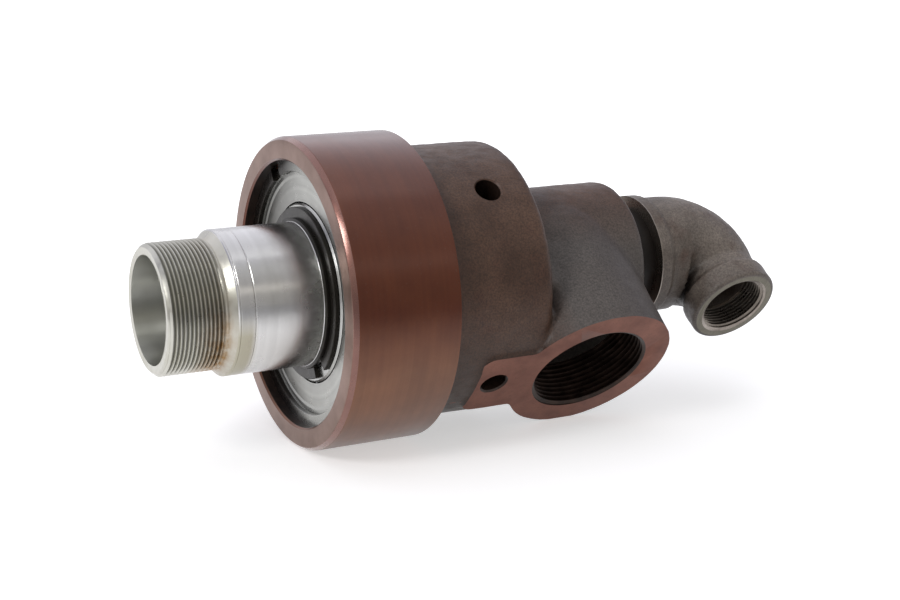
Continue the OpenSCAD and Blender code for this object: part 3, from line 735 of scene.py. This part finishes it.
def cast_blank():
    """Body, head, branch and pad as overlapping shells, fused and softened."""
    body = lathe(round_boss(120.0, BODY_X, BODY_R, BODY_CORNER))
    head = lathe(round_boss(190.0, HEAD_X, HEAD_R, HEAD_CORNER))
    machined_away = 3.0
    cast_reach = PORT_REACH + machined_away
    root = arc(10.0, 0, BRANCH_R, pi / 2, pi, 24)
    branch = lathe([(cast_reach, 0), (cast_reach, BRANCH_R)] + root)
    to_port = Matrix.Translation((PORT_X, 0, 0)) @ POINT_DOWN
    shells = solid("housing_casting", body, head)
    pad = solid("pad", prism(pad_outline(), -cast_reach, -CHAMBER_R))
    stem = solid("stem", branch, place=to_port)
    for other in (pad, stem, crotch_fillet(-1), crotch_fillet(1)):
        join_shells(shells, other)
    cast(shells, grain=1.3, passes=8)
    roughen(shells, depth=0.22, grain=9.0)
    return shells


def join_shells(piece, other):
    """Adds the other object's faces to the piece as they are."""
    shape = bmesh.new()
    shape.from_mesh(piece.data)
    shape.from_mesh(other.data)
    shape.to_mesh(piece.data)
    shape.free()
    bpy.data.objects.remove(other)


def crotch_fillet(side):
    """Web that fills the corner between the branch and the body's back face."""
    radius = 9.0
    sunk = 3.0
    centre_x = BODY_X + radius
    centre_y = ((BRANCH_R + radius) ** 2 - (PORT_X - centre_x) ** 2) ** 0.5
    drop = ((BODY_R - BODY_CORNER) ** 2 - centre_y ** 2) ** 0.5 - sunk
    end = -pi / 2 + atan((PORT_X - centre_x) / centre_y)
    outline = [(BODY_X - sunk, 0), (BODY_X - sunk, centre_y)]
    outline += arc(centre_x, centre_y, radius, -pi, end, 12)
    outline.append((PORT_X, 0))
    if side < 0:
        outline = [(x, -y) for x, y in reversed(outline)]
    return solid("web", prism(outline, -drop, 0))


def threaded_plug(name, reach, length, pitch, low, high, mouth, slope, place):
    """Cutter for a threaded hole, with a countersink at its mouth.

    The mouth's radius shrinks by slope for each millimetre down the hole.
    """
    outside = -1.0

    def limit(x, r):
        cut = np.maximum(r, mouth - slope * np.maximum(x, 0))
        return np.where(x >= length, low, cut)

    band = threaded_band(outside, length, pitch, low, high, limit)
    floor = lathe([(length, low), (length, 0)])
    lid = lathe([(outside, 0), (outside, mouth)])
    turn_in = Matrix.Translation((0, 0, -reach)) @ Matrix.Rotation(-pi / 2, 4, "Y")
    return solid(name, floor, lid, band, place=place @ turn_in)


def weep_cutter(angle, outside):
    """Cutter for a weep hole, with a small countersink."""
    inside = CHAMBER_R - 6
    sink = 1.0
    past = 1.4
    profile = [(inside, 0), (inside, WEEP_R), (outside - sink, WEEP_R),
               (outside + past, WEEP_R + sink + past), (outside + past, 0)]
    place = Matrix.Rotation(angle, 4, "X") @ Matrix.Translation((WEEP_X, 0, 0)) @ POINT_DOWN
    return solid("weep", lathe(profile, 64), place=place)


def cut_faces(piece):
    """Mills the port's face, the pad and the head's end, and flattens the rim that it lies on."""
    far = 60.0
    low = -PORT_REACH - BEYOND
    face = rectangle(PORT_X - BRANCH_R - 1, HEAD_X + BESIDE, far)
    combine(piece, solid("face_cut", prism(face, low, -PORT_REACH)), "DIFFERENCE")
    pad = pad_outline(PAD_HALF + 0.4, PAD_X - 0.4)
    combine(piece, solid("pad_cut", prism(pad, low, -PORT_REACH)), "DIFFERENCE")
    below = prism(rectangle(PORT_X - far, PORT_X + far, 2 * far), -DRUM_R - far, -DRUM_R)
    combine(piece, solid("rest_cut", below, place=LAID.inverted()), "DIFFERENCE")
    spot_r = NIPPLE_R + 8
    spot = [(HEAD_X, 0)] + stepped(HEAD_X, [(HEAD_X + BEYOND, spot_r)]) + [(HEAD_X + BEYOND, 0)]
    combine(piece, solid("spot_face", lathe(spot)), "DIFFERENCE")


def bore_profile():
    """Profile of everything that is bored along the rotor's axis, from the drum's face inwards."""
    front = DRUM_X[0]
    bevel = 1
    throat_end = CARRIER_END + 4
    widening = 3
    narrowing = 4
    seat_r = NIPPLE_R + SEAT_GAP
    seat_x = HEAD_X - ENGAGEMENT
    past_head = HEAD_X + 2
    bores = [(front - bevel, 0), (front - bevel, BEARING_R + 2 * bevel)]
    bores += stepped(front + bevel, [
        (HOUSING_RING_X[0], BEARING_R), (HOUSING_RING_X[1], BEARING_R + HOUSING_GROOVE),
        (BEARING_END, BEARING_R), (REAR_BEARING_X[0], BETWEEN_R), (REAR_BEARING_X[1], REAR_BEARING_R),
        (CHAMBER_X[0], COLLAR_R), (CHAMBER_X[1], CHAMBER_R), (CARRIER_END, CARRIER_R),
        (throat_end, THROAT_R)])
    bores += [(throat_end + widening, HEAD_BORE_R), (seat_x - narrowing, HEAD_BORE_R),
              (seat_x, seat_r), (past_head, seat_r), (past_head, 0)]
    return bores


def cut_port(piece):
    """Cuts the side port's thread, and the passage from it to the head's bore."""
    at_port = Matrix.Translation((PORT_X, 0, 0))
    plug = threaded_plug("port_thread", PORT_REACH, PORT_THREAD_LEN, PORT_PITCH, PORT_R - 1.2,
                         PORT_R + 0.9, mouth=PORT_R + 1.1, slope=2.5, place=at_port)
    combine(piece, plug, "DIFFERENCE")
    start = -5.0
    end = PORT_REACH - 20
    core = [(start, 0)] + stepped(start, [(end, PORT_R - 2)]) + [(end, 0)]
    combine(piece, solid("core", lathe(core, 96), place=at_port @ POINT_DOWN), "DIFFERENCE")


def make_housing():
    piece = cast_blank()
    cut_faces(piece)
    front, back = DRUM_X
    length, height = DRUM_CHAMFER
    drum = [(front, 0), (front, DRUM_R - height), (front + length, DRUM_R), (back, DRUM_R), (back, 0)]
    combine(piece, solid("drum", lathe(closed(eased(drum, 0.5)))), "UNION")
    combine(piece, solid("bores", lathe(bore_profile())), "DIFFERENCE")
    cut_port(piece)
    for i in range(4):
        outside = PORT_REACH if i == 0 else BODY_R
        combine(piece, weep_cutter(i * pi / 2, outside), "DIFFERENCE")

    skin, filmed, milled, cut, faced, edge = range(6)

    def choose(centre, normal):
        radius = hypot(centre.y, centre.z)
        on_drum = centre.x < back + 0.1
        in_groove = HOUSING_RING_X[0] + 0.1 < centre.x < HOUSING_RING_X[1] - 0.1
        outside = radius > BEARING_R + 0.05
        if centre.x < front + 2.5 and outside and abs(normal.x) > 0.8:
            return faced
        if centre.x < front + length - 0.1 and radius > DRUM_R - height - 0.1:
            return edge
        if on_drum and (radius > BODY_R + 0.5 or (outside and not in_groove)):
            return filmed
        if abs(centre.z + PORT_REACH) < 0.02 and abs(normal.z) > 0.9:
            return milled
        if centre.x > HEAD_X - 0.01 and abs(normal.x) > 0.9:
            return milled
        if in_port(centre) or in_bore(centre, radius):
            return cut
        if radius < BODY_R - 1.5 and inside_weep(centre):
            return cut
        return cut if centre.x < BEARING_END + 0.4 and not outside else skin

    looks = [cast_iron(branch_sheen=True), filmed_iron(), milled_iron(), cut_iron(), faced_iron(),
             edge_iron()]
    finish_piece(piece, looks, choose, LAID, "housing", "housing", flat=(milled,))


def in_port(centre):
    """Whether the point is in the side port, outside the head's bore."""
    bore_side = -45
    thread_depth = 1.7
    return centre.z < bore_side and hypot(centre.x - PORT_X, centre.y) < PORT_R + thread_depth


def inside_weep(centre):
    """Whether the point is in one of the four weep holes."""
    if abs(centre.x - WEEP_X) > WEEP_R + 1:
        return False
    return min(abs(centre.y), abs(centre.z)) < WEEP_R + 1


def in_bore(centre, radius):
    """Whether the point is on a bore, inside the casting."""
    if centre.x < BODY_X - 2:
        return radius < CHAMBER_R + 3
    return radius < HEAD_BORE_R + 0.5


# Elbow

def bend_stations(start_r, end_r):
    """Stations of the elbow's bend, which swells a little as it narrows."""
    stations = []
    for i in range(BEND_STEPS + 1):
        share = i / BEND_STEPS
        a = share * pi / 2
        radius = start_r + (end_r - start_r) * share + BEND_SWELL * share * (1 - share)
        stations.append((ELBOW_X[1] - BEND_REACH + BEND_REACH * sin(a), BEND_REACH * (cos(a) - 1), a, radius))
    return stations


def rounded_end(name, reach, radius, corner, place):
    """Cutter that faces off a round end at that reach and rounds its outer edge."""
    far = radius + BESIDE
    start = reach - corner
    profile = [(start - 1, far), (start - 1, radius + 1.5), (start, radius)]
    profile += arc(start, radius - corner, corner, pi / 2, 0)
    profile += [(reach, 0), (reach + BEYOND, 0), (reach + BEYOND, far)]
    return solid(name, lathe(closed(profile), 128), place=place @ POINT_DOWN)


def make_elbow():
    start, outlet_x = ELBOW_X
    band_r = NIPPLE_R + 7.4
    neck_r = NIPPLE_R + 5.2
    outlet_band_r = OUTLET_R + 7.6
    outlet_neck_r = OUTLET_R + 5.4
    wall = 7.7
    mouth = OUTLET_R + 1.9
    before = start - 2
    band_end = start + 8.2
    neck_start = start + 9.8
    neck_full = start + 13.0
    stations = [(before, 0, 0, band_r), (band_end, 0, 0, band_r), (neck_start, 0, 0, neck_r - 0.5),
                (neck_full, 0, 0, neck_r)]
    stations += bend_stations(neck_r, outlet_neck_r)
    down = pi / 2
    outlet_neck_end = -ELBOW_DROP + 15.5
    outlet_band_start = -ELBOW_DROP + 13.8
    below = -ELBOW_DROP - 3
    stations += [(outlet_x, outlet_neck_end, down, outlet_neck_r),
                 (outlet_x, outlet_band_start, down, outlet_band_r),
                 (outlet_x, below, down, outlet_band_r)]
    piece = solid("reducing_elbow", swept(stations))
    cast(piece, grain=0.85, passes=4)
    roughen(piece, depth=0.22, grain=6.0)
    at_outlet = Matrix.Translation((outlet_x, 0, 0))
    wide = 60.0
    inlet_cut = prism(rectangle(start - BESIDE, start, wide), -wide, wide)
    combine(piece, solid("inlet_cut", inlet_cut), "DIFFERENCE")
    combine(piece, rounded_end("outlet_cut", ELBOW_DROP, outlet_band_r, 2.2, at_outlet), "DIFFERENCE")
    socket_end = start + ENGAGEMENT
    socket = [(before, 0)] + stepped(before, [(socket_end, NIPPLE_R + SEAT_GAP)]) + [(socket_end, 0)]
    combine(piece, solid("socket", lathe(socket)), "DIFFERENCE")
    way_r = 25.0
    way_end_r = outlet_neck_r - wall
    way = [(socket_end - 4, 0, 0, way_r)] + bend_stations(way_r, way_end_r)
    way.append((outlet_x, -ELBOW_DROP + 8, down, way_end_r))
    combine(piece, solid("waterway", swept(way)), "DIFFERENCE")
    plug = threaded_plug("outlet_thread", ELBOW_DROP, OUTLET_THREAD_LEN, OUTLET_PITCH, OUTLET_R - 1.0,
                         OUTLET_R + 0.5, mouth=mouth, slope=1.6, place=at_outlet)
    combine(piece, plug, "DIFFERENCE")

    skin, worn, darkened, olive = range(4)

    def choose(centre, normal):
        out = hypot(centre.x - outlet_x, centre.y)
        up = centre.z + ELBOW_DROP
        # Painted shade: the inlet face, which lies in shade, takes the dark oily thread material.
        if centre.x < start + 0.02:
            return darkened
        if centre.x < start + 0.7 or (up < 0.02 and out < mouth + 0.5):
            return worn
        if up < 0.02:
            return olive
        if up < OUTLET_THREAD_LEN and out < mouth:
            return worn if up < 1.2 else darkened
        return skin

    looks = [cast_iron("malleable_skin", (0.105, 0.085, 0.069), (0.215, 0.180, 0.151), darken_below=0.002),
             steel("worn_iron", (0.20, 0.165, 0.135), (0.52, 0.47, 0.42), 0.34, 0.8, 900.0),
             steel("oily_thread_and_shade", (0.10, 0.085, 0.070), (0.32, 0.28, 0.24), 0.28, 0.85, 900.0),
             steel("olive_face", (0.13, 0.12, 0.09), (0.24, 0.22, 0.17), 0.45, 0.5, 900.0)]
    finish_piece(piece, looks, choose, ELBOW_LAID, "housing", "elbow")


# Springs of the seal

def make_springs():
    """The coils behind the seal's carrier, copied whole and held with the housing."""
    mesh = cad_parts["seal_springs"].data.copy()
    mesh.materials.clear()
    mesh.materials.append(steel("spring_wire", (0.50, 0.50, 0.50), (0.66, 0.66, 0.66), 0.28))
    piece = bpy.data.objects.new("seal_spring_coils", mesh)
    bpy.context.scene.collection.objects.link(piece)
    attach(piece, "housing")
    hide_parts("seal_springs")
    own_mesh(piece)


# Materials of the CAD nodes that show as they are

def dress_nodes():
    race = steel("bearing_steel", (0.40, 0.40, 0.38), (0.56, 0.56, 0.54), 0.25)
    ball = steel("polished_steel", (0.66, 0.66, 0.66), (0.78, 0.78, 0.78), 0.10)
    # The pressed and spring steels are given painted shade on their far side.
    sheet = steel("pressed_steel", (0.40, 0.40, 0.375), (0.48, 0.48, 0.45), 0.30, 0.9, 200.0,
                  (0.0, 0.085))
    spring = steel("spring_steel", (0.34, 0.34, 0.315), (0.46, 0.46, 0.43), 0.26, 0.9, 300.0,
                   (-0.012, 0.020))
    black = black_steel("black_steel")
    seat = steel("lapped_steel", (0.52, 0.50, 0.46), (0.66, 0.64, 0.60), 0.16)
    plain = steel("turned_steel", (0.45, 0.45, 0.44), (0.62, 0.62, 0.61), 0.26)
    soft = rubber()
    looks = {
        "front_bearing_outer_race": race, "front_bearing_inner_race": race,
        "front_bearing_balls": ball, "front_bearing_cage": sheet, "front_bearing_shields": sheet,
        "rear_bearing_outer_race": race, "rear_bearing_inner_race": race,
        "rear_bearing_balls": ball, "rear_bearing_cage": sheet, "rear_bearing_shields": sheet,
        "bearing_spacer": plain, "housing_retaining_ring": spring,
        "rotor_front_retaining_ring": black, "rotor_rear_retaining_ring": black,
        "v_ring": soft, "seal_seat": seat, "seat_o_ring": soft, "carbon_seal_ring": carbon(),
        "seal_carrier": plain, "carrier_o_ring": soft, "seal_drive_pins": plain,
        "nipple": black_pipe(),
    }
    for name, look in looks.items():
        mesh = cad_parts[name].data
        mesh.materials.clear()
        mesh.materials.append(look)


# Studio

def make_floor():
    """A pale floor that shows white to the camera and keeps the part's shadow."""
    half = 30.0
    corners = [(x, y, -DRUM_R * MM) for x, y in rectangle(-half, half, half)]
    mesh = bpy.data.meshes.new("floor")
    mesh.from_pydata(corners, [], [(0, 1, 2, 3)])
    floor = bpy.data.objects.new("floor", mesh)
    bpy.context.scene.collection.objects.link(floor)
    look = Look("pale_floor")
    path = look.add("ShaderNodeLightPath").outputs
    parts = look.add("ShaderNodeSeparateXYZ", {"Vector": look.place}).outputs
    away = look.add("ShaderNodeVectorMath", {0: look.place}, operation="LENGTH").outputs["Value"]
    far = look.ramp(look.math("MULTIPLY", parts["Y"], -1.0), (0.12, 0.0), (0.42, 1.0))
    seen = look.ramp(away, (0.35, 0.50), (1.0, 0.85))
    mirrored = look.ramp(far, (0.0, 0.45), (1.0, 0.10))
    in_view = look.math("MAXIMUM", path["Is Camera Ray"], path["Is Transmission Ray"])
    seen = look.math("MULTIPLY", in_view, seen)
    mirrored = look.math("MULTIPLY", path["Is Glossy Ray"], mirrored)
    look.feed(look.shader.inputs["Emission Strength"], look.math("ADD", seen, mirrored))
    tone = look.mix(look.math("MULTIPLY", far, path["Is Glossy Ray"]), (0.8, 0.8, 0.8), (0.35, 0.35, 0.35))
    mesh.materials.append(look.done(tone, 1.0, Emission_Color=(1.0, 1.0, 1.0, 1.0), Specular_IOR_Level=0.0))


def make_world():
    """Soft studio surroundings, which the camera itself sees as white.

    There is a level for each angle up over the part, from the camera's side.
    """
    world = bpy.data.worlds.new("studio")
    bpy.context.scene.world = world
    world.use_nodes = True
    sky = Nodes(world.node_tree)
    direction = sky.add("ShaderNodeTexCoord").outputs["Generated"]
    parts = sky.add("ShaderNodeSeparateXYZ", {"Vector": direction}).outputs
    angle = sky.math("ARCTAN2", parts["Z"], sky.math("MULTIPLY", parts["Y"], -1.0))
    colour = sky.ramp(sky.math("DIVIDE", angle, pi),
                      (0.0, (0.41, 0.40, 0.39)), (0.11, (0.41, 0.40, 0.39)), (0.15, (0.95, 0.91, 0.86)),
                      (0.19, (0.42, 0.41, 0.41)), (0.32, (0.60, 0.60, 0.61)), (0.43, (0.58, 0.58, 0.62)),
                      (0.55, (0.30, 0.30, 0.35)), (0.78, (0.55, 0.55, 0.64)), (1.0, (0.85, 0.85, 0.88)))
    seen = sky.add("ShaderNodeLightPath").outputs["Is Camera Ray"]
    colour = sky.mix(seen, colour, (1.0, 1.0, 1.0))
    background = world.node_tree.nodes["Background"].inputs
    sky.feed(background["Color"], colour)
    sky.feed(background["Strength"], 1.0)


def make_lamp(name, place, target, size, power):
    """A soft square lamp."""
    lamp = bpy.data.lights.new(name, "AREA")
    lamp.size = size
    lamp.energy = power
    holder = bpy.data.objects.new(name, lamp)
    holder.location = place
    holder.rotation_mode = "QUATERNION"
    holder.rotation_quaternion = (Vector(target) - Vector(place)).to_track_quat("-Z", "Y")
    bpy.context.scene.collection.objects.link(holder)


def make_camera():
    """The photograph's view, from a camera fitted to the union's circles."""
    azimuth, elevation, roll = radians(-27.435), radians(11.948), radians(-0.294)
    target = Vector((0.1765, 0, 0))
    distance = 0.9512
    back = Vector((sin(azimuth) * cos(elevation), -cos(azimuth) * cos(elevation), sin(elevation)))
    right = (-back).cross(Vector((0, 0, 1))).normalized()
    up = right.cross(-back)
    right, up = right * cos(roll) + up * sin(roll), up * cos(roll) - right * sin(roll)
    camera = bpy.data.cameras.new("camera")
    camera.sensor_width = 36.0
    camera.lens = 65.18
    camera.shift_x = 0.0108
    camera.shift_y = -0.0250
    holder = bpy.data.objects.new("camera", camera)
    turn = Matrix((right, up, back)).transposed().to_4x4()
    holder.matrix_world = Matrix.Translation(target + back * distance) @ turn
    bpy.context.scene.collection.objects.link(holder)
    bpy.context.scene.camera = holder


make_rotor()
make_housing()
make_elbow()
make_springs()
dress_nodes()
make_floor()
make_world()
make_lamp("overhead", place=(0.12, 0.45, 1.0), target=(0.17, 0.0, 0.0), size=1.8, power=4.8)
make_lamp("key", place=(-0.78, -0.43, 0.71), target=(0.08, 0.0, 0.0), size=0.32, power=4.1)
make_camera()
bpy.context.scene.view_settings.view_transform = "Standard"
